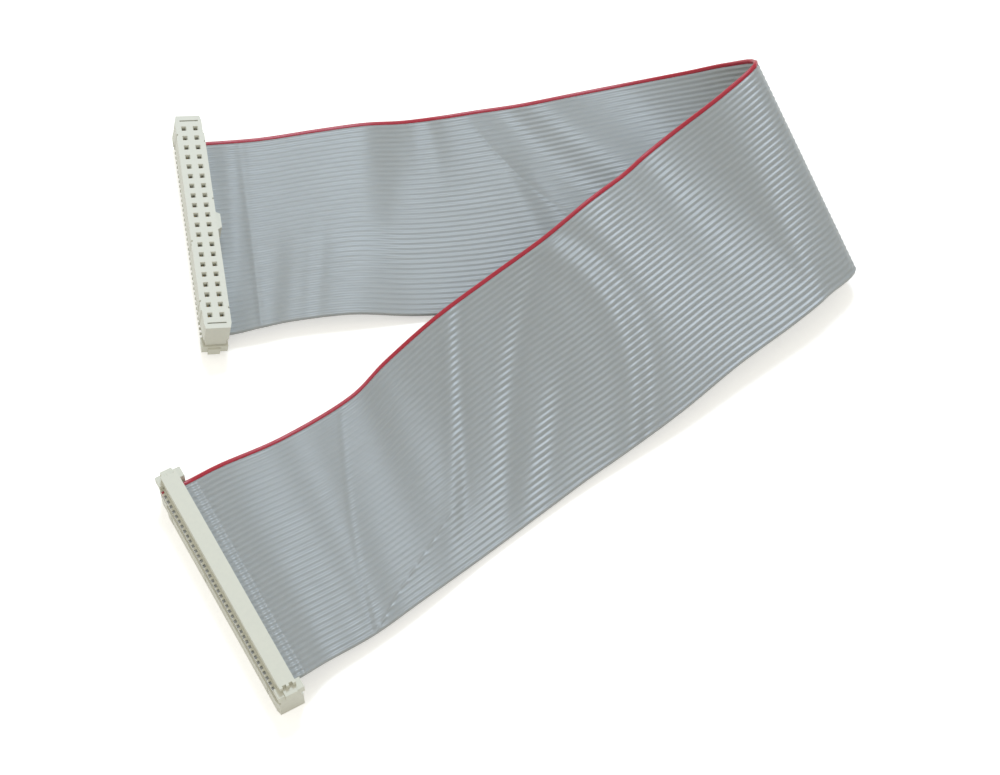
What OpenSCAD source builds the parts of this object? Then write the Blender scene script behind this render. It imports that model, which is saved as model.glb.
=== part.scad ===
// Flat ribbon cable with a 2-row female socket pressed onto each end.
//
// The ribbon is a row of conductors on a fine pitch, joined edge to edge by a
// thin web, and its first conductor is marked red. Each socket is a moulded
// body with two rows of fork contacts and a cover bar that clamps the ribbon
// onto the forks. The cable lies on a flat surface at z = 0: socket A leans
// against its own cover with the openings up, the ribbon runs away along +X,
// rolls over once, and comes back to socket B, which lies openings down.
// The origin is on that surface, in the middle of socket B's mating face.

/* [Ribbon] */
// Number of conductors, two for each column of contacts
conductors = 40; // [10:2:64]
// Distance from one conductor to the next
wire_pitch = 1.27; // [1:0.01:1.4]
// Diameter over the insulation of one conductor
wire_d = 0.88; // [0.7:0.02:1]
// Thickness of the web between two conductors
web_t = 0.46; // [0.3:0.02:0.6]

/* [Socket body] */
// Width of a socket body, across the two rows
body_w = 6.1; // [5.6:0.1:8]
// Height of a socket body above the ribbon
body_h = 6.5; // [5.5:0.1:9]
// Length of the body beyond the ribbon's edge at each end
body_end = 2.1; // [2:0.1:4]
// Height of the narrower foot of the body, next to the ribbon
foot_h = 1.8; // [1:0.1:3]
// Step on each side from the foot to the full width
foot_step = 0.4; // [0.1:0.1:0.6]
// Distance between the two rows of contacts
row_gap = 2.54; // [2:0.01:3]
// Width of a contact opening on the mating face
mouth_w = 1.15; // [1:0.05:1.6]
// Width of a contact opening below its funnel
bore_w = 0.8; // [0.7:0.05:0.9]
// Length of the polarising key along the socket
key_l = 4; // [2:0.5:8]
// How far the polarising key stands out of the body
key_out = 1; // [0.4:0.1:1.6]

/* [Socket cover] */
// Thickness of the cover bar under the ribbon
cover_h = 3; // [2:0.1:4]
// Width of the cover bar
cover_w = 3.5; // [3.4:0.1:4]
// How far the cover bar sits off the middle, towards the cut ends
cover_off = 0.15; // [0:0.05:0.2]
// Width of the cover's end flanges
flange_w = 5.6; // [4.6:0.1:7]
// How far the flanges reach beyond the body's ends
flange_out = 0.4; // [0.2:0.1:1.2]
// Width of the release tab on each flange
tab_w = 2.6; // [1.5:0.1:3]
// How far the release tab reaches beyond the flange
tab_out = 0.4; // [0.2:0.1:1.2]

/* [Contacts] */
// Thickness of the sheet that the contacts are stamped from
sheet_t = 0.3; // [0.2:0.05:0.4]
// Width of a contact's base
base_w = 1.7; // [1.4:0.05:1.9]
// Width of one beam at its root
beam_w = 0.4; // [0.3:0.05:0.5]
// Width of the fork that straddles a conductor
fork_w = 1.1; // [0.9:0.05:1.2]
// Width of the slit in the fork that grips the copper
slit_w = 0.3; // [0.2:0.02:0.36]

/* [Placing] */
// Lean of socket A about its length, down towards the ribbon
lean = 10.3; // [0:0.1:20]
// Middle of socket A from the middle of socket B along X
a_x = 3.8; // [-10:0.1:10]
// Middle of socket A from the middle of socket B along Y
a_y = 85; // [70:0.1:110]
// Heading of the ribbon where it enters socket B
b_heading = 199.5; // [180:0.5:220]

/* [Hidden] */
$fn = 48;

plastic = [0.86, 0.86, 0.81];
cover_plastic = [0.84, 0.84, 0.79];
gold = [0.83, 0.66, 0.36];
grey = [0.62, 0.65, 0.68];
red = [0.78, 0.16, 0.24];

ribbon_w = conductors * wire_pitch;
columns = conductors / 2;
column_pitch = 2 * wire_pitch;
wire_r = wire_d / 2;
// The body and the cover meet the ribbon's web, with grooves for the round conductors
seat = web_t / 2 + 0.02;
groove_r = wire_r + 0.02;
face_z = wire_r + body_h;
body_l = ribbon_w + 2 * body_end;
cover_z = -wire_r - cover_h;
// The cover bar's side that faces the free ribbon, and the ribbon's cut ends on the other side
bar_side = cover_w / 2 - cover_off;
cut_x = 0.2 - body_w / 2;

// Contact openings: a funnel at the face, a bore, and a chamber for the contact
funnel_h = 0.35;
bore_h = 0.6;
chamber_l = 1.9;
chamber_w = 0.9;
floor_z = seat + 0.4;
row_x = row_gap / 2;
// The forks stay clear of the neighbouring conductors
fork = min(fork_w, wire_pitch - 0.15);

// Latch legs of the cover rise in pockets at the ends of the body
leg_w = 3.8;
leg_t = 1;
leg_y = ribbon_w / 2 + 0.25;
leg_top = 4.6;
pocket_gap = 0.1;

// Parts of the cover: the bar's end, the thickness of the flanges and tabs, the
// low ledge along the bar, and the teeth between the conductors' cut ends
bar_end = ribbon_w / 2 + 1.4;
flange_h = 1.9;
tab_h = 2.3;
ledge_w = 0.4;
tooth_w = 0.5;
tooth_h = 0.7;

// Height of each socket's conductor plane above the surface
a_z = -cover_z * cos(lean) + bar_side * sin(lean);
b_z = face_z;

// ---------------------------------------------------------------- socket body
// In a socket's own frame x points to the free ribbon, y runs along the socket,
// z points to the mating face, and z = 0 is the plane of the conductors.

// Outline of the body seen from the mating face. All its corners taper, and two
// opposite ones are also a little narrower over the last few millimetres.
module body_outline(inset) {
  w = body_w / 2 - inset;
  l = body_l / 2;
  half = [[w, l - 4.7], [w - 0.25, l - 4.5], [w - 0.25, l - 1.4], [w - 0.55, l], [0.3 - w, l], [-w, l - 1.2]];
  polygon(concat(half, -half));
}

// Funnel at the mating face: two crossed wedges leave a four-sided pyramid
module funnel() {
  wedge = [[-bore_w / 2, -funnel_h], [bore_w / 2, -funnel_h], [mouth_w / 2, 0.01], [-mouth_w / 2, 0.01]];
  intersection() {
    rotate([90, 0, 0]) linear_extrude(mouth_w + 0.2, center = true) polygon(wedge);
    rotate([90, 0, 90]) linear_extrude(mouth_w + 0.2, center = true) polygon(wedge);
  }
}

// One contact opening from the mating face to the slot in the floor
module opening(side) {
  bore_z = face_z - funnel_h - bore_h;
  translate([0, 0, face_z]) funnel();
  translate([-bore_w / 2, -bore_w / 2, bore_z - 0.01]) cube([bore_w, bore_w, bore_h + 0.02]);
  translate([-chamber_w / 2, -chamber_l / 2, floor_z]) cube([chamber_w, chamber_l, bore_z - floor_z]);
  translate([-sheet_t / 2 - 0.02, side * wire_pitch / 2 - fork / 2 - 0.03, 0])
    cube([sheet_t + 0.04, fork + 0.06, floor_z + 0.1]);
}

// Grooves that hold the round conductors, along x
module wire_grooves() {
  for (i = [0 : conductors - 1])
    translate([0, (i - (conductors - 1) / 2) * wire_pitch, 0]) rotate([0, 90, 0])
      cylinder(h = body_w + 1, r = groove_r, center = true);
}

// Pocket for a latch leg, and the thin slot above it on the mating face
module latch_pocket() {
  translate([-leg_w / 2 - pocket_gap, leg_y - pocket_gap, 0])
    cube([leg_w + 2 * pocket_gap, leg_t + 2 * pocket_gap + 0.25, leg_top + pocket_gap]);
  translate([-2, leg_y + 0.38, 0]) cube([4, 0.3, face_z + 1]);
}

// Short upright grooves in the long sides, down from the mating face
module side_grooves() {
  for (turn = [0, 180], y = [22.5, -5.4, -20.6])
    rotate([0, 0, turn]) translate([-body_w / 2 - 0.1, y * ribbon_w / 50.8 - 0.2, face_z - 4.4])
      cube([0.4, 0.4, 5]);
}

// Outline of the polarising key, with sloping ends
module key_outline() {
  l = key_l / 2;
  polygon([[0, -l - 0.3], [body_w / 2, -l - 0.3], [body_w / 2 + key_out, 0.3 - l],
           [body_w / 2 + key_out, l - 0.3], [body_w / 2, l + 0.3], [0, l + 0.3]]);
}

module body() {
  difference() {
    union() {
      translate([0, 0, seat]) linear_extrude(foot_h + 0.01) body_outline(foot_step);
      translate([0, 0, seat + foot_h]) linear_extrude(face_z - seat - foot_h) body_outline(0);
      translate([0, 0, seat + foot_h]) linear_extrude(face_z - seat - foot_h - 0.6) key_outline();
    }
    for (side = [-1, 1], i = [0 : columns - 1])
      translate([side * row_x, (i - (columns - 1) / 2) * column_pitch, 0]) opening(side);
    wire_grooves();
    for (turn = [0, 180]) rotate([0, 0, turn]) latch_pocket();
    side_grooves();
  }
}

// --------------------------------------------------------------- socket cover
// Recess in the cover for the tip of one fork
module fork_recess(side) {
  translate([-sheet_t / 2 - 0.05, side * wire_pitch / 2 - fork / 2 - 0.05, -2.1])
    cube([sheet_t + 0.1, fork + 0.1, 2.2]);
}

// Flange beyond the ribbon's edge, its release tab, and the latch leg that rises from it
module flange() {
  y0 = ribbon_w / 2 + 0.15;
  y1 = body_l / 2 + flange_out;
  translate([-flange_w / 2, y0, -flange_h]) cube([flange_w, y1 - y0, flange_h + seat - 0.08]);
  translate([-cover_off - tab_w / 2, bar_end - 0.01, -tab_h])
    cube([tab_w, y1 + tab_out - bar_end, tab_h - 0.4]);
  translate([-leg_w / 2, leg_y, -0.5]) cube([leg_w, leg_t, leg_top + 0.5]);
  translate([-leg_w / 2, leg_y + leg_t - 0.01, leg_top]) rotate([0, 90, 0])
    linear_extrude(leg_w) polygon([[0, 0], [1, 0.25], [1.3, 0.25], [1.3, 0]]);
}

// Low ledge along the bar, and its teeth between the conductors' cut ends
module comb() {
  ledge_x = bar_side - cover_w - ledge_w;
  translate([ledge_x, -ribbon_w / 2, -tooth_h]) cube([ledge_w + 0.1, ribbon_w, tooth_h - seat]);
  for (i = [0 : conductors])
    translate([cut_x, (i - conductors / 2) * wire_pitch - tooth_w / 2, -tooth_h])
      cube([ledge_x - cut_x + 0.1, tooth_w, tooth_h - seat]);
}

module cover() {
  difference() {
    union() {
      translate([bar_side - cover_w, -bar_end, cover_z]) cube([cover_w, 2 * bar_end, -seat - cover_z]);
      comb();
      for (side = [0, 1]) mirror([0, side, 0]) flange();
    }
    wire_grooves();
    for (side = [-1, 1], i = [0 : columns - 1])
      translate([side * row_x, (i - (columns - 1) / 2) * column_pitch, 0]) fork_recess(side);
    for (side = [0, 1], x = [-0.7, 0.7])
      mirror([0, side, 0]) translate([x - cover_off - 0.4, bar_end - 0.45, cover_z - 1])
        cube([0.8, 0.45, 2]);
  }
}

// ------------------------------------------------------------------- contacts
// Half outline of a contact beam, mirrored for the other one
module beam_outline() {
  root = floor_z + 0.9;
  bump = face_z - funnel_h - bore_h - 0.7;
  polygon([[base_w / 2 - beam_w, root], [base_w / 2, root], [base_w / 2, bump - 1.2],
           [0.58, bump], [0.85, bump + 0.55], [0.6, bump + 0.6], [0.2, bump],
           [base_w / 2 - beam_w - 0.05, bump - 1.2]]);
}

// One stamped contact, flat in the y-z plane
module contact(side) {
  fork_y = side * wire_pitch / 2;
  rotate([90, 0, 90]) linear_extrude(sheet_t, center = true) {
    beam_outline();
    mirror([1, 0]) beam_outline();
    translate([-base_w / 2, floor_z + 0.02]) square([base_w, 1]);
    difference() {
      translate([fork_y - fork / 2, -1.9]) square([fork, floor_z + 1.98]);
      translate([fork_y - slit_w / 2, -2]) square([slit_w, floor_z + 1.9]);
      for (s = [-1, 1]) translate([fork_y + s * fork / 2, -1.9]) rotate(45) square(0.36, center = true);
    }
  }
}

module contact_row(side) {
  for (i = [0 : columns - 1])
    translate([side * row_x, (i - (columns - 1) / 2) * column_pitch, 0]) contact(side);
}

// --------------------------------------------------------------------- ribbon
// Each row is one straight line across the ribbon, from its red edge to its
// grey edge, measured from the surface below the middle of socket A. The ribbon
// runs smoothly from row to row, and the first and last rows, at the walls of
// the sockets, follow from where the sockets lie.
rows = [
  [[16, 25.5, 1.5], [10, -25, 3.5]],
  [[29, 26, 1], [17.5, -24.5, 3.5]],
  [[39.5, 26, 0.9], [30, -25, 3.5]],
  [[48, 24.5, 1.8], [43.5, -26.5, 1.5]],
  [[56, 23.5, 3], [59, -27.5, 0.6]],
  [[64.5, 23.5, 3.2], [76.5, -27.5, 0.6]],
  [[74.5, 24, 2.6], [93.5, -26.5, 0.6]],
  [[86.5, 25.5, 1.6], [108.5, -25, 0.6]],
  [[100.5, 26, 2.2], [120.5, -24.5, 0.6]],
  [[112.5, 24.5, 5.5], [129, -26, 1.2]],
  [[120.5, 21, 11.5], [134.5, -28.5, 3]],
  [[125, 15, 19], [137.5, -34, 5.5]],
  [[116, 8.5, 18], [130.5, -39.5, 6.7]],
  [[105.5, 4, 14], [127, -42, 6.8]],
  [[97.5, -0.5, 12.5], [120, -46, 6.3]],
  [[91.5, -5.5, 13.5], [108, -52.5, 5.7]],
  [[83, -11, 14], [94.5, -60.5, 4.2]],
  [[72, -17.5, 12], [82, -67, 2.8]],
  [[59.5, -23, 8.5], [72, -72, 2.1]],
  [[47, -29, 5.5], [62, -77.5, 1.6]],
  [[35, -36, 2], [48, -85.5, 1.6]],
  [[26, -43, 0.9], [33.5, -94, 2.9]],
  [[11, -50, 0.9], [23.5, -99.5, 3]],
  [[-2.5, -55.5, 3.5], [13.5, -104, 4]],
];
scaled_rows = [for (r = rows) let (mid = (r[0] + r[1]) / 2, half = (r[0] - r[1]) / 2 * ribbon_w / 50.8)
  [mid + half + [a_x, a_y, 0], mid - half + [a_x, a_y, 0]]];
// Points in a socket's own frame, placed on the surface
function spin_y(p, a) = [p[0] * cos(a) + p[2] * sin(a), p[1], p[2] * cos(a) - p[0] * sin(a)];
function spin_z(p, a) = [p[0] * cos(a) - p[1] * sin(a), p[0] * sin(a) + p[1] * cos(a), p[2]];
function at_a(p) = spin_y(p, lean) + [a_x, a_y, a_z];
function at_b(p) = spin_z([p[0], -p[1], -p[2]], b_heading - 180) + [0, 0, b_z];

// Line across the ribbon in a socket's frame, red edge first
function line_a(x) = [at_a([x, ribbon_w / 2, 0]), at_a([x, -ribbon_w / 2, 0])];
function line_b(x) = [at_b([x, -ribbon_w / 2, 0]), at_b([x, ribbon_w / 2, 0])];

wall = body_w / 2 - 0.05;
guides = concat([line_a(wall - 8), line_a(wall)], scaled_rows, [line_b(wall), line_b(wall - 9)]);

// Catmull-Rom blend of four neighbouring values
function blend(a, b, c, d, t) =
  0.5 * (2 * b + (c - a) * t + (2 * a - 5 * b + 4 * c - d) * t * t + (3 * b - a - 3 * c + d) * t * t * t);
function row_at(i, t) =
  [for (e = [0, 1]) blend(guides[i - 1][e], guides[i][e], guides[i + 1][e], guides[i + 2][e], t)];

steps = 3;
// The outermost conductors end short of the last half pitch
edge_f = (wire_pitch / 2 - wire_r) / ribbon_w;
spans = len(guides) - 3;
lines = concat([for (i = [1 : spans], k = [0 : steps - 1]) row_at(i, k / steps)], [guides[spans + 1]]);
rings = len(lines);

// Point on line i, a fraction f of the way from the red edge to the grey edge
function spot(i, f) = lines[i][0] * (1 - f) + lines[i][1] * f;
function unit(v) = v / norm(v);
// Direction along the ribbon and normal of its upper face, where it starts
function along(i, f) = i == 0 ? at_a([1, 0, 0]) - at_a([0, 0, 0])
                     : i == rings - 1 ? at_b([0, 0, 0]) - at_b([1, 0, 0])
                     : spot(i + 1, f) - spot(i - 1, f);
function normal(i, f) = unit(cross(along(i, f), lines[i][0] - lines[i][1]));

// Strip of the ribbon between two fractions of its width, in equal bands
module strip(f0, f1, bands) {
  n = bands + 1;
  fs = [for (j = [0 : bands]) f0 + (f1 - f0) * j / bands];
  points = [for (i = [0 : rings - 1])
    each concat([for (f = fs) spot(i, f) + wire_r * normal(i, f)],
                [for (j = [bands : -1 : 0]) spot(i, fs[j]) - wire_r * normal(i, fs[j])])];
  m = 2 * n;
  sides = [for (i = [0 : rings - 2], j = [0 : m - 1], half = [0, 1])
    let (a = i * m + j, b = i * m + (j + 1) % m, c = a + m, d = b + m)
    j == m - 1 ? (half == 0 ? [a, c, d] : [a, d, b]) : (half == 0 ? [a, c, b] : [b, c, d])];
  caps = [for (j = [0 : bands - 1], half = [0, 1], end = [0, rings - 1])
    let (a = end * m + j, b = a + 1, c = end * m + m - 1 - j, d = c - 1)
    end == 0 ? (half == 0 ? [a, b, c] : [b, d, c]) : (half == 0 ? [a, c, b] : [b, c, d])];
  polyhedron(points, concat(sides, caps));
}

// Straight end of the ribbon inside a socket, conductors first to last from the
// red edge, with slits for the forks. red_side is the red edge's side along y.
module crimp(first, last, red_side) {
  edge = wire_pitch / 2;
  y_of = function (k) red_side * (ribbon_w / 2 - (k + 0.5) * wire_pitch);
  difference() {
    union() {
      for (k = [first : last])
        translate([cut_x, y_of(k), 0]) rotate([0, 90, 0]) cylinder(h = body_w / 2 - cut_x, r = wire_r);
      a = y_of(first) + (first > 0 ? red_side * edge : 0);
      b = y_of(last) - (last < conductors - 1 ? red_side * edge : 0);
      translate([cut_x, min(a, b), -web_t / 2]) cube([body_w / 2 - cut_x, abs(a - b), web_t]);
    }
    for (k = [first : last], s = [-1, 1]) {
      translate([red_side * (k % 2 == 0 ? row_x : -row_x) - sheet_t / 2 - 0.01,
                 y_of(k) + s * (fork + slit_w) / 4 - (fork - slit_w) / 4 - 0.01, -wire_d])
        cube([sheet_t + 0.02, (fork - slit_w) / 2 + 0.02, 2 * wire_d]);
    }
  }
}

// ------------------------------------------------------------------- placing
module in_socket_a() {
  translate([a_x, a_y, a_z]) rotate([0, lean, 0]) children();
}

module in_socket_b() {
  translate([0, 0, b_z]) rotate([0, 0, b_heading - 180]) rotate([180, 0, 0]) children();
}

module ribbon() {
  color(grey) {
    strip(1 / conductors, 1 - edge_f, 10);
    in_socket_a() crimp(1, conductors - 1, 1);
    in_socket_b() crimp(1, conductors - 1, -1);
  }
}

module red_conductor() {
  color(red) {
    strip(edge_f, 1 / conductors, 1);
    in_socket_a() crimp(0, 0, 1);
    in_socket_b() crimp(0, 0, -1);
  }
}

module socket_a_body() { color(plastic) in_socket_a() body(); }
module socket_a_cover() { color(cover_plastic) in_socket_a() cover(); }
module socket_a_contacts_left() { color(gold) in_socket_a() contact_row(-1); }
module socket_a_contacts_right() { color(gold) in_socket_a() contact_row(1); }
module socket_b_body() { color(plastic) in_socket_b() body(); }
module socket_b_cover() { color(cover_plastic) in_socket_b() cover(); }
module socket_b_contacts_left() { color(gold) in_socket_b() contact_row(-1); }
module socket_b_contacts_right() { color(gold) in_socket_b() contact_row(1); }

ribbon();
red_conductor();
socket_a_body();
socket_a_cover();
socket_a_contacts_left();
socket_a_contacts_right();
socket_b_body();
socket_b_cover();
socket_b_contacts_left();
socket_b_contacts_right();
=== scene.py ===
"""Grey flat ribbon cable, folded over once, with a two-row socket pressed onto each end."""

import math

import bpy
import numpy as np
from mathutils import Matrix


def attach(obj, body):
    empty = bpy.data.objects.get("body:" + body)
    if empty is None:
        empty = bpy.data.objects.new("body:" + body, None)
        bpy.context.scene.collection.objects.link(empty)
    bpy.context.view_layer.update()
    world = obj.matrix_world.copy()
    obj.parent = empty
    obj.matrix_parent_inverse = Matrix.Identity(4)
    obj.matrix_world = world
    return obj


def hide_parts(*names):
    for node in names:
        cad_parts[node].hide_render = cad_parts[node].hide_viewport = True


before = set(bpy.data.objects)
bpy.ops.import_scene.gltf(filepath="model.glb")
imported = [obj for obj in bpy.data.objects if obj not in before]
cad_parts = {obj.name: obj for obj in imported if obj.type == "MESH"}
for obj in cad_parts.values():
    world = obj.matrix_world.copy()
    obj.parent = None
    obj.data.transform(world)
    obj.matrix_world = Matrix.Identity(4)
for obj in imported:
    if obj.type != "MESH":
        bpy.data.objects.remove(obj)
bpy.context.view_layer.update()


# ------------------------------------------------------------------ camera
# A long lens looks down at about sixty degrees from the grey edge's side, a
# little to the left of the sockets.
camera_data = bpy.data.cameras.new("camera")
camera_data.lens = 97.2
camera_data.sensor_width = 36
camera_data.clip_end = 20
camera = bpy.data.objects.new("camera", camera_data)
camera.location = (0.01404, -0.2379, 0.497)
camera.rotation_euler = (math.radians(29.5), 0, math.radians(-9.8))
bpy.context.collection.objects.link(camera)
bpy.context.scene.camera = camera


# ------------------------------------------------------------------ ribbon
# Forty conductors side by side in extruded PVC, joined by a thin web. It lies
# as it was dropped: along the surface, over in one soft roll, and back over its
# first leg. Both ends are clamped in the sockets.
MM = 0.001
CONDUCTORS = 40
PITCH = 1.27 * MM
WIDTH = CONDUCTORS * PITCH
WIRE_R = 0.44 * MM
# Half the thickness between two conductors, and the least at the edges' tips
WEB = 0.31 * MM
TIP = 0.02 * MM

# The sockets' clamps: A's stands along Y and leans, B's is turned about Z. The
# strip's cut ends stop just inside the sockets' far sides.
SOCKET_W = 6.1 * MM
WALL = SOCKET_W / 2 - 0.05 * MM
PLACE_A = np.array([3.8, 85, 0]) * MM
HEIGHT_A = 3.6707 * MM
LEAN = math.radians(10.3)
CUT_END_A = 2.45 * MM
HEIGHT_B = 6.94 * MM
HEADING = math.radians(19.5)
CUT_END_B = 2.85 * MM

# Each row is a straight line across the ribbon, from the red edge to the grey
# edge, in millimetres from socket A.
ROWS = np.array([
    [[16, 25.5, 1.5], [10, -25, 3.5]], [[29, 26, 1], [17.5, -24.5, 3.5]],
    [[39.5, 26, 0.9], [30, -25, 3.5]], [[48, 24.5, 1.8], [43.5, -26.5, 1.5]],
    [[56, 23.5, 3], [59, -27.5, 0.6]], [[64.5, 23.5, 3.2], [76.5, -27.5, 0.6]],
    [[74.5, 24, 2.6], [93.5, -26.5, 0.6]], [[86.5, 25.5, 1.6], [108.5, -25, 0.6]],
    [[100.5, 26, 2.2], [120.5, -24.5, 0.6]], [[112.5, 24.5, 5.5], [129, -26, 1.2]],
    [[120.5, 21, 11.5], [134.5, -28.5, 3]], [[125, 15, 19], [137.5, -34, 5.5]],
    [[116, 8.5, 18], [130.5, -39.5, 6.7]], [[105.5, 4, 14], [127, -42, 6.8]],
    [[97.5, -0.5, 12.5], [120, -46, 6.3]], [[91.5, -5.5, 13.5], [108, -52.5, 5.7]],
    [[83, -11, 14], [94.5, -60.5, 4.2]], [[72, -17.5, 12], [82, -67, 2.8]],
    [[59.5, -23, 8.5], [72, -72, 2.1]], [[47, -29, 5.5], [62, -77.5, 1.6]],
    [[35, -36, 2], [48, -85.5, 1.6]], [[26, -43, 0.9], [33.5, -94, 2.9]],
    [[11, -50, 0.9], [23.5, -99.5, 3]], [[-2.5, -55.5, 3.5], [13.5, -104, 4]],
]) * MM + PLACE_A


def across_a(x):
    """The line across the ribbon in socket A's clamp, at distance x from the
    socket's middle: x turned down by the lean, lifted to the clamp's height,
    and half the width to either side along Y."""
    middle = PLACE_A + [x * math.cos(LEAN), 0, HEIGHT_A - x * math.sin(LEAN)]
    return np.array([middle + [0, WIDTH / 2, 0], middle - [0, WIDTH / 2, 0]])


def across_b(x):
    """The line across the ribbon in socket B's clamp, at distance x from the
    socket's middle: x along the heading, level at the clamp's height, and half
    the width to either side, square to the heading."""
    out = np.array([math.cos(HEADING), math.sin(HEADING), 0])
    red = np.array([-math.sin(HEADING), math.cos(HEADING), 0]) * WIDTH / 2
    middle = out * x + [0, 0, HEIGHT_B]
    return np.array([middle + red, middle - red])


# One row beyond each wall, deep in the socket, gives the blend its direction
BEYOND_A = 8 * MM
BEYOND_B = 9 * MM
GUIDES = np.concatenate([[across_a(WALL - BEYOND_A), across_a(WALL)], ROWS,
                         [across_b(WALL), across_b(WALL - BEYOND_B)]])


def rails(per_span):
    """Both edges of the ribbon as one array: a Catmull-Rom blend of four
    neighbouring rows a, b, c, d at equal steps of t from 0 to 1,
    (2b + (c - a)t + (2a - 5b + 4c - d)t² + (3b - a - 3c + d)t³) / 2."""
    t = (np.arange(per_span) / per_span)[None, :, None, None]
    a, b, c, d = (GUIDES[k:len(GUIDES) - 3 + k, None] for k in range(4))
    line = 0.5 * (2 * b + (c - a) * t + (2 * a - 5 * b + 4 * c - d) * t ** 2
                  + (3 * b - a - 3 * c + d) * t ** 3)
    return np.concatenate([line.reshape(-1, 2, 3), GUIDES[-2:-1]])


def even(line, count):
    """The same two edges at count stations, at equal distances along the line
    midway between them, each coordinate taken linearly between its neighbours."""
    steps = np.linalg.norm(np.diff(line.mean(1), axis=0), axis=1)
    at = np.concatenate([[0], np.cumsum(steps)])
    want = np.linspace(0, at[-1], count)
    flat = line.reshape(len(line), 6)
    return np.stack([np.interp(want, at, flat[:, k]) for k in range(6)], 1).reshape(count, 2, 3)


PER_SPAN = 24
STATIONS = 196
edges = even(rails(PER_SPAN), STATIONS)
edges = np.concatenate([[across_a(-CUT_END_A), across_a(0)], edges,
                        [across_b(0), across_b(-CUT_END_B)]])
middle_line = edges.mean(1)
station_m = np.concatenate([[0], np.cumsum(np.linalg.norm(np.diff(middle_line, axis=0), axis=1))])


def sheet_points(share, height):
    """A point for every station, and every pair of a share of the width and a
    height above the middle: edge to edge in a straight line, plus the height
    along the normal, which is the way along crossed with the way across."""
    share = np.asarray(share)[None, :, None]
    on = edges[:, None, 0] * (1 - share) + edges[:, None, 1] * share
    along = np.gradient(on, axis=0)
    across = (edges[:, 0] - edges[:, 1])[:, None]
    normal = np.cross(along, across)
    normal /= np.linalg.norm(normal, axis=2, keepdims=True)
    return on + normal * np.asarray(height)[None, :, None]


# The map's unit is a tenth of a metre
MAP_PER_M = 10


def swept(name, share, height, slot):
    """A closed piece whose cross-section is the outline of points (share,
    height), carried along every station, with the outline's upper half joined to
    its lower half in quads at both ends. The map holds the distance along and
    the place across."""
    share, height = np.asarray(share), np.asarray(height)
    points = sheet_points(share, height)
    rings, n = points.shape[:2]
    i, j = np.meshgrid(np.arange(rings - 1) * n, np.arange(n), indexing="ij")
    k = (j + 1) % n
    sides = np.stack([i + k, i + n + k, i + n + j, i + j], -1).reshape(-1, 4)
    a = np.arange(n // 2 - 1)
    cap = np.stack([n - 1 - a, n - 2 - a, a + 1, a], 1)
    faces = np.concatenate([sides, cap, cap[:, ::-1] + (rings - 1) * n])
    mesh = bpy.data.meshes.new(name)
    mesh.from_pydata(points.reshape(-1, 3), [], faces.tolist())
    flat = np.stack([np.repeat(station_m, n), np.tile(share * WIDTH, rings)], 1) * MAP_PER_M
    corner = np.zeros(len(mesh.loops), np.int32)
    mesh.loops.foreach_get("vertex_index", corner)
    mesh.uv_layers.new(name="lie").data.foreach_set("uv", flat[corner].ravel())
    mesh.polygons.foreach_set("use_smooth", np.arange(len(faces)) < len(sides))
    mesh.update()
    piece = bpy.data.objects.new(name, mesh)
    bpy.context.collection.objects.link(piece)
    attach(piece, "root")
    return piece


STEPS_PER_WIRE = 6


def outline(first, last):
    """The outline of conductors first to last, at equal steps x over the top and
    back below, as shares of the width and heights. The half thickness swells over
    each conductor as WEB + (WIRE_R - WEB)(1 - cos 2πx/PITCH)/2, and the strip's
    outermost conductor ends in a half round."""
    steps = np.arange(first * STEPS_PER_WIRE, (last + 1) * STEPS_PER_WIRE + 1)
    x = steps / STEPS_PER_WIRE * PITCH
    h = WEB + (WIRE_R - WEB) * (1 - np.cos(2 * np.pi * x / PITCH)) / 2
    first_middle, last_middle = 0.5 * PITCH, WIDTH - 0.5 * PITCH
    x = np.clip(x, first_middle - WIRE_R, last_middle + WIRE_R)
    past = np.maximum(np.maximum(first_middle - x, x - last_middle), 0)
    h = np.where(past > 0, np.sqrt(np.maximum(WIRE_R ** 2 - past ** 2, 0)), h)
    h = np.maximum(h, TIP)
    return np.concatenate([x, x[::-1]]) / WIDTH, np.concatenate([h, -h[::-1]])


def group(name, inputs, outputs):
    """A shader node group with inputs (name, type, default or None) and outputs
    (name, type), and its input and output nodes."""
    tree = bpy.data.node_groups.new(name, "ShaderNodeTree")
    for n, kind, value in inputs:
        s = tree.interface.new_socket(n, in_out="INPUT", socket_type="NodeSocket" + kind)
        if value is not None:
            s.default_value = value
    for n, kind in outputs:
        tree.interface.new_socket(n, in_out="OUTPUT", socket_type="NodeSocket" + kind)
    return tree, tree.nodes.new("NodeGroupInput"), tree.nodes.new("NodeGroupOutput")


def blank(name):
    """A new material with its node tree and its Principled BSDF."""
    material = bpy.data.materials.new(name)
    material.use_nodes = True
    return material, material.node_tree, material.node_tree.nodes["Principled BSDF"]


def calc(tree, operation, *values):
    """The result of a maths node on two or three numbers or outputs."""
    node = tree.nodes.new("ShaderNodeMath")
    node.operation = operation
    for k, value in enumerate(values):
        if isinstance(value, (int, float)):
            node.inputs[k].default_value = value
        else:
            tree.links.new(value, node.inputs[k])
    return node.outputs[0]


def mapped(tree, where, scale):
    """The coordinates where, with each axis multiplied by its scale."""
    node = tree.nodes.new("ShaderNodeMapping")
    node.inputs["Scale"].default_value = scale
    tree.links.new(where, node.inputs["Vector"])
    return node.outputs["Vector"]


def noise(tree, where, scale, detail=2):
    """Smooth noise between 0 and 1, read at where."""
    node = tree.nodes.new("ShaderNodeTexNoise")
    node.inputs["Scale"].default_value = scale
    node.inputs["Detail"].default_value = detail
    tree.links.new(where, node.inputs["Vector"])
    return node.outputs["Fac"]


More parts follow.
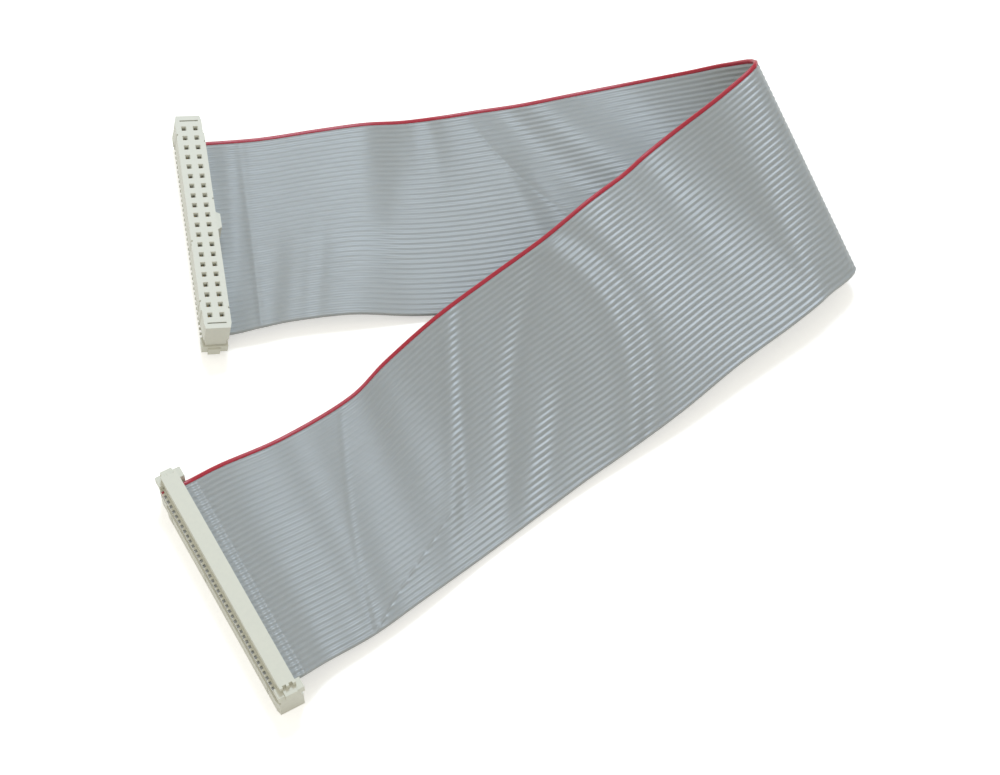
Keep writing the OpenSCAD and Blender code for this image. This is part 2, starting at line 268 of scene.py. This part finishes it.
def spread(tree, value, low, high):
    """A value from 0 to 1, taken linearly to between low and high."""
    node = tree.nodes.new("ShaderNodeMapRange")
    node.inputs["To Min"].default_value = low
    node.inputs["To Max"].default_value = high
    tree.links.new(value, node.inputs["Value"])
    return node.outputs["Result"]


def bumped(tree, shader, height, distance, strength=1):
    """Turns the shader's normal by a height, which is in units of distance."""
    node = tree.nodes.new("ShaderNodeBump")
    node.inputs["Strength"].default_value = strength
    node.inputs["Distance"].default_value = distance
    tree.links.new(height, node.inputs["Height"])
    tree.links.new(node.outputs["Normal"], shader.inputs["Normal"])


# The skin of extruded PVC: faint streaks along the conductors change its tone,
# its gloss and its height.
STREAK_STRETCH = (3, 60, 1)
STREAK_SCALE = 9
STREAK_DETAIL = 4
STREAK_TONES = (0.93, 1.05)
STREAK_HEIGHT = 0.015
PVC_ROUGHNESS = (0.28, 0.36)
skin_tree, skin_in, skin_out = group(
    "pvc_skin", [("Colour", "Color", (0.4, 0.4, 0.4, 1))],
    [("Colour", "Color"), ("Roughness", "Float"), ("Height", "Float")])
skin_map = skin_tree.nodes.new("ShaderNodeUVMap")
skin_map.uv_map = "lie"
streaks = noise(skin_tree, mapped(skin_tree, skin_map.outputs["UV"], STREAK_STRETCH),
                STREAK_SCALE, STREAK_DETAIL)
tinted = skin_tree.nodes.new("ShaderNodeVectorMath")
tinted.operation = "SCALE"
skin_tree.links.new(skin_in.outputs["Colour"], tinted.inputs[0])
skin_tree.links.new(spread(skin_tree, streaks, *STREAK_TONES), tinted.inputs["Scale"])
skin_tree.links.new(tinted.outputs["Vector"], skin_out.inputs["Colour"])
skin_tree.links.new(spread(skin_tree, streaks, *PVC_ROUGHNESS), skin_out.inputs["Roughness"])
skin_tree.links.new(streaks, skin_out.inputs["Height"])

# A wave crosses the ribbon from a station at the red edge to another at the grey
# edge, and its line bows out by Bow · 4 · share · (1 - share). Where off is the
# distance from that line in widths of the wave, its height is
# (Height + Slope · Width · off) · exp(-off²): a ridge, and a tilt that is steepest
# on the line. It lies between two shares of the ribbon's width, From and To, and
# fades out over FADE to both sides of them.
WAVE_VALUES = ("Red", "Grey", "Bow", "Width", "Height", "Slope", "From", "To")
FADE = 0.15
wave_tree, wave_in, wave_out = group(
    "wave", [("Place", "Vector", None)]
    + [(n, "Float", value) for n, value in zip(WAVE_VALUES, (0, 0, 0, 1, 0, 0, -1, 2))],
    [("Height", "Float")])
place = wave_tree.nodes.new("ShaderNodeSeparateXYZ")
wave_tree.links.new(wave_in.outputs["Place"], place.inputs[0])
along_mm = calc(wave_tree, "MULTIPLY", place.outputs["X"], 1 / (MAP_PER_M * MM))
share_of = calc(wave_tree, "MULTIPLY", place.outputs["Y"], 1 / (MAP_PER_M * WIDTH))
slant = calc(wave_tree, "SUBTRACT", wave_in.outputs["Grey"], wave_in.outputs["Red"])
chord = calc(wave_tree, "MULTIPLY_ADD", slant, share_of, wave_in.outputs["Red"])
hump = calc(wave_tree, "MULTIPLY", share_of, calc(wave_tree, "SUBTRACT", 1, share_of))
hump = calc(wave_tree, "MULTIPLY", hump, 4)
crest = calc(wave_tree, "MULTIPLY_ADD", hump, wave_in.outputs["Bow"], chord)
off = calc(wave_tree, "SUBTRACT", along_mm, crest)
off = calc(wave_tree, "DIVIDE", off, wave_in.outputs["Width"])
bell = calc(wave_tree, "MULTIPLY", off, off)
bell = calc(wave_tree, "EXPONENT", calc(wave_tree, "MULTIPLY", bell, -1))
tilt = calc(wave_tree, "MULTIPLY", off, bell)
tilt = calc(wave_tree, "MULTIPLY", tilt, wave_in.outputs["Width"])
tilt = calc(wave_tree, "MULTIPLY", tilt, wave_in.outputs["Slope"])
rise = calc(wave_tree, "MULTIPLY_ADD", bell, wave_in.outputs["Height"], tilt)
for name, way in (("From", 1), ("To", -1)):
    inside = calc(wave_tree, "SUBTRACT", share_of, wave_in.outputs[name])
    fade = wave_tree.nodes.new("ShaderNodeMapRange")
    fade.interpolation_type = "SMOOTHSTEP"
    fade.inputs["From Min"].default_value = -FADE
    fade.inputs["From Max"].default_value = FADE
    wave_tree.links.new(calc(wave_tree, "MULTIPLY", inside, way), fade.inputs["Value"])
    rise = calc(wave_tree, "MULTIPLY", rise, fade.outputs["Result"])
wave_tree.links.new(rise, wave_out.inputs["Height"])

# Stations, bow, width and height in millimetres, in the order of WAVE_VALUES
WAVES = [
    (8.5, 8.5, 0, 3, 0, -0.12, -1, 0.7),
    (12.2, 16, -0.5, 0.9, 0.13, 0, -1, 2),
    (21, 22, 0, 4, 0, 0.08, 0.6, 2),
    (27.5, 29.5, 0, 1.8, 0, -0.1, 0.55, 2),
    (43, 43, 0, 7, 0, 0.12, -1, 0.65),
    (54.5, 54.5, 0, 4, 0, -0.1, -1, 0.3),
    (76, 76, 0, 4, 0, -0.14, 0.3, 2),
    (69, 92.5, -2, 0.8, 0.12, 0, 0.1, 2),
    (86, 107, -2, 10, 0, 0.2, -1, 2),
    (205, 203, -9.5, 4, 0, 0.16, -1, 2),
    (205, 240.5, 2, 3, -0.45, 0, -1, 0.92),
    (194, 233, 0, 4.5, 0, 0.12, 0.58, 0.95),
    (226, 252, 0, 2.5, 0, 0.2, -1, 0.85),
    (253, 253, 0, 7, 0, -0.12, -1, 2),
    (273.5, 273.5, 0, 6, 0, 0.12, -1, 2),
    (166.5, 274, 0, 0.8, 0.11, 0, 0.75, 2),
    (261.5, 274, 0, 0.8, 0.09, 0, -1, 2),
    (293.5, 293.5, 0, 0.8, 0.22, 0, -1, 2),
    (295.6, 295.6, 0, 1.2, 0, 0.2, -1, 2),
]


def pvc(name, colour, waves=()):
    """Extruded PVC of one colour, a little translucent, with the skin's streaks
    along it and the heights of the given waves added to theirs."""
    material, tree, shader = blank(name)
    skin = tree.nodes.new("ShaderNodeGroup")
    skin.node_tree = skin_tree
    skin.inputs["Colour"].default_value = (*colour, 1)
    tree.links.new(skin.outputs["Colour"], shader.inputs["Base Color"])
    tree.links.new(skin.outputs["Roughness"], shader.inputs["Roughness"])
    height = calc(tree, "MULTIPLY", skin.outputs["Height"], STREAK_HEIGHT)
    where = tree.nodes.new("ShaderNodeUVMap")
    where.uv_map = "lie"
    for values in waves:
        wave = tree.nodes.new("ShaderNodeGroup")
        wave.node_tree = wave_tree
        tree.links.new(where.outputs["UV"], wave.inputs["Place"])
        for n, value in zip(WAVE_VALUES, values):
            wave.inputs[n].default_value = value
        height = calc(tree, "ADD", height, wave.outputs["Height"])
    bumped(tree, shader, height, MM)
    shader.inputs["Subsurface Weight"].default_value = 0.8
    shader.inputs["Subsurface Radius"].default_value = (1, 0.9, 0.8)
    shader.inputs["Subsurface Scale"].default_value = 0.8 * MM
    return material


GREY = (0.372, 0.393, 0.4)
ribbon = swept("ribbon_strip", *outline(1, CONDUCTORS - 1), "ribbon_insulation")
ribbon.data.materials.append(pvc("grey_pvc", GREY, WAVES))
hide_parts("ribbon")


# ------------------------------------------------------------------ red edge
# The first conductor is the same strip, extruded in red PVC, and marks the side
# of pin one. It runs into both sockets beside the others.
RED = (0.45, 0.02, 0.045)
red_wire = swept("red_edge_wire", *outline(0, 0), "red_insulation")
red_wire.data.materials.append(pvc("red_pvc", RED))
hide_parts("red_conductor")


# ------------------------------------------------------------------ sockets
# Each socket is a body and a clamping cover, moulded in a pale grey-cream
# plastic with a fine even grain and a soft sheen. The cover is pressed onto the
# body with the ribbon between them, and its legs latch at both ends.
BODY_CREAM = (0.70, 0.70, 0.62)
COVER_CREAM = (0.70, 0.70, 0.61)
MOTTLE_SCALE = 900
DARKEST, LIGHTEST = 0.94, 1.05
MOULDED_ROUGHNESS = (0.42, 0.56)
GRAIN_SCALE = 4000
GRAIN_DEPTH = 0.03 * MM
GRAIN_STRENGTH = 0.2


def tones(tree, shader, amount, low, high):
    """Blends the shader's colour from low to high by an amount from 0 to 1."""
    mix = tree.nodes.new("ShaderNodeMix")
    mix.data_type = "RGBA"
    mix.inputs["A"].default_value = (*low, 1)
    mix.inputs["B"].default_value = (*high, 1)
    tree.links.new(amount, mix.inputs["Factor"])
    tree.links.new(mix.outputs["Result"], shader.inputs["Base Color"])


def moulded(name, colour):
    """Moulded plastic of one colour, faintly mottled, with a fine grain."""
    material, tree, shader = blank(name)
    where = tree.nodes.new("ShaderNodeTexCoord").outputs["Object"]
    mottle = noise(tree, where, MOTTLE_SCALE)
    tones(tree, shader, mottle, [c * DARKEST for c in colour], [c * LIGHTEST for c in colour])
    tree.links.new(spread(tree, mottle, *MOULDED_ROUGHNESS), shader.inputs["Roughness"])
    bumped(tree, shader, noise(tree, where, GRAIN_SCALE), GRAIN_DEPTH, GRAIN_STRENGTH)
    return material


def dress(node, material):
    """Gives every face of a CAD node one material."""
    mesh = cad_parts[node].data
    mesh.materials.clear()
    mesh.materials.append(material)


body_look = moulded("body_cream", BODY_CREAM)
cover_look = moulded("cover_cream", COVER_CREAM)
for end in "ab":
    dress(f"socket_{end}_body", body_look)
    dress(f"socket_{end}_cover", cover_look)


# ------------------------------------------------------------------ contacts
# Forty contacts a socket in two rows, stamped from bronze strip and plated with
# nickel and thin gold. They sit in the body's openings, and each grips one
# conductor in its fork.
GOLD = (0.62, 0.45, 0.2)
WORN = (0.52, 0.46, 0.36)
PATCH_SCALE = 1500
PLATED_ROUGHNESS = (0.25, 0.5)
ROLLED_STRETCH = (9000, 9000, 500)
ROLLED_DEPTH = 0.01 * MM
ROLLED_STRENGTH = 0.15


def plated(name):
    """Plated metal, patchy in tone and gloss, with fine lines from rolling."""
    material, tree, shader = blank(name)
    where = tree.nodes.new("ShaderNodeTexCoord").outputs["Object"]
    patches = noise(tree, where, PATCH_SCALE)
    tones(tree, shader, patches, GOLD, WORN)
    tree.links.new(spread(tree, patches, *PLATED_ROUGHNESS), shader.inputs["Roughness"])
    rolled = noise(tree, mapped(tree, where, ROLLED_STRETCH), 1)
    bumped(tree, shader, rolled, ROLLED_DEPTH, ROLLED_STRENGTH)
    shader.inputs["Metallic"].default_value = 1
    return material


contact_look = plated("plated_contact")
for end in "ab":
    for side in ("left", "right"):
        dress(f"socket_{end}_contacts_{side}", contact_look)


# ------------------------------------------------------------------ paper
# The cable lies on a large sheet of matt white paper, which is no part of it. The
# paper looks brighter, to the eye and in reflections, than the light it gives.
REACH = 3
PAPER_WHITE = (0.86, 0.855, 0.83, 1)
PAPER_GLOW = 0.48
floor_mesh = bpy.data.meshes.new("floor")
floor_mesh.from_pydata([(-REACH, -REACH, 0), (REACH, -REACH, 0), (REACH, REACH, 0),
                        (-REACH, REACH, 0)], [], [(0, 1, 2, 3)])
floor = bpy.data.objects.new("floor", floor_mesh)
bpy.context.collection.objects.link(floor)
paper, paper_tree, paper_shader = blank("white_paper")
paper_shader.inputs["Base Color"].default_value = PAPER_WHITE
paper_shader.inputs["Roughness"].default_value = 0.9
light_path = paper_tree.nodes.new("ShaderNodeLightPath").outputs
seen = calc(paper_tree, "ADD", light_path["Is Camera Ray"], light_path["Is Glossy Ray"])
seen = calc(paper_tree, "ADD", seen, light_path["Is Transmission Ray"])
glow = paper_tree.nodes.new("ShaderNodeEmission")
paper_tree.links.new(calc(paper_tree, "MULTIPLY", seen, PAPER_GLOW), glow.inputs["Strength"])
both = paper_tree.nodes.new("ShaderNodeAddShader")
paper_tree.links.new(paper_shader.outputs["BSDF"], both.inputs[0])
paper_tree.links.new(glow.outputs["Emission"], both.inputs[1])
paper_tree.links.new(both.outputs["Shader"], paper_tree.nodes["Material Output"].inputs["Surface"])
floor_mesh.materials.append(paper)


# ------------------------------------------------------------------ light
# A soft window stands high behind the cable, turned towards its middle, and the
# room around it is evenly bright and a little warm.
WINDOW_PLACE = np.array([0.197, 0.704, 1.11])
WINDOW_AIM = np.array([0.065, 0.043, 0])
WINDOW_SIDE = 0.3
WINDOW_WATTS = 7.6
WINDOW_COLOUR = (0.7, 0.84, 1)
ROOM_COLOUR = (1, 0.965, 0.87, 1)
ROOM_STRENGTH = 0.68
window_data = bpy.data.lights.new("window", "AREA")
window_data.shape = "RECTANGLE"
window_data.size = window_data.size_y = WINDOW_SIDE
window_data.energy = WINDOW_WATTS
window_data.color = WINDOW_COLOUR
window = bpy.data.objects.new("window", window_data)
back = WINDOW_PLACE - WINDOW_AIM
window.location = WINDOW_PLACE
window.rotation_euler = (math.acos(back[2] / np.linalg.norm(back)), 0,
                         math.atan2(back[1], back[0]) + math.pi / 2)
bpy.context.collection.objects.link(window)

room = bpy.data.worlds.new("studio")
room.use_nodes = True
room.node_tree.nodes["Background"].inputs["Color"].default_value = ROOM_COLOUR
room.node_tree.nodes["Background"].inputs["Strength"].default_value = ROOM_STRENGTH
bpy.context.scene.world = room
bpy.context.scene.view_settings.view_transform = "Standard"
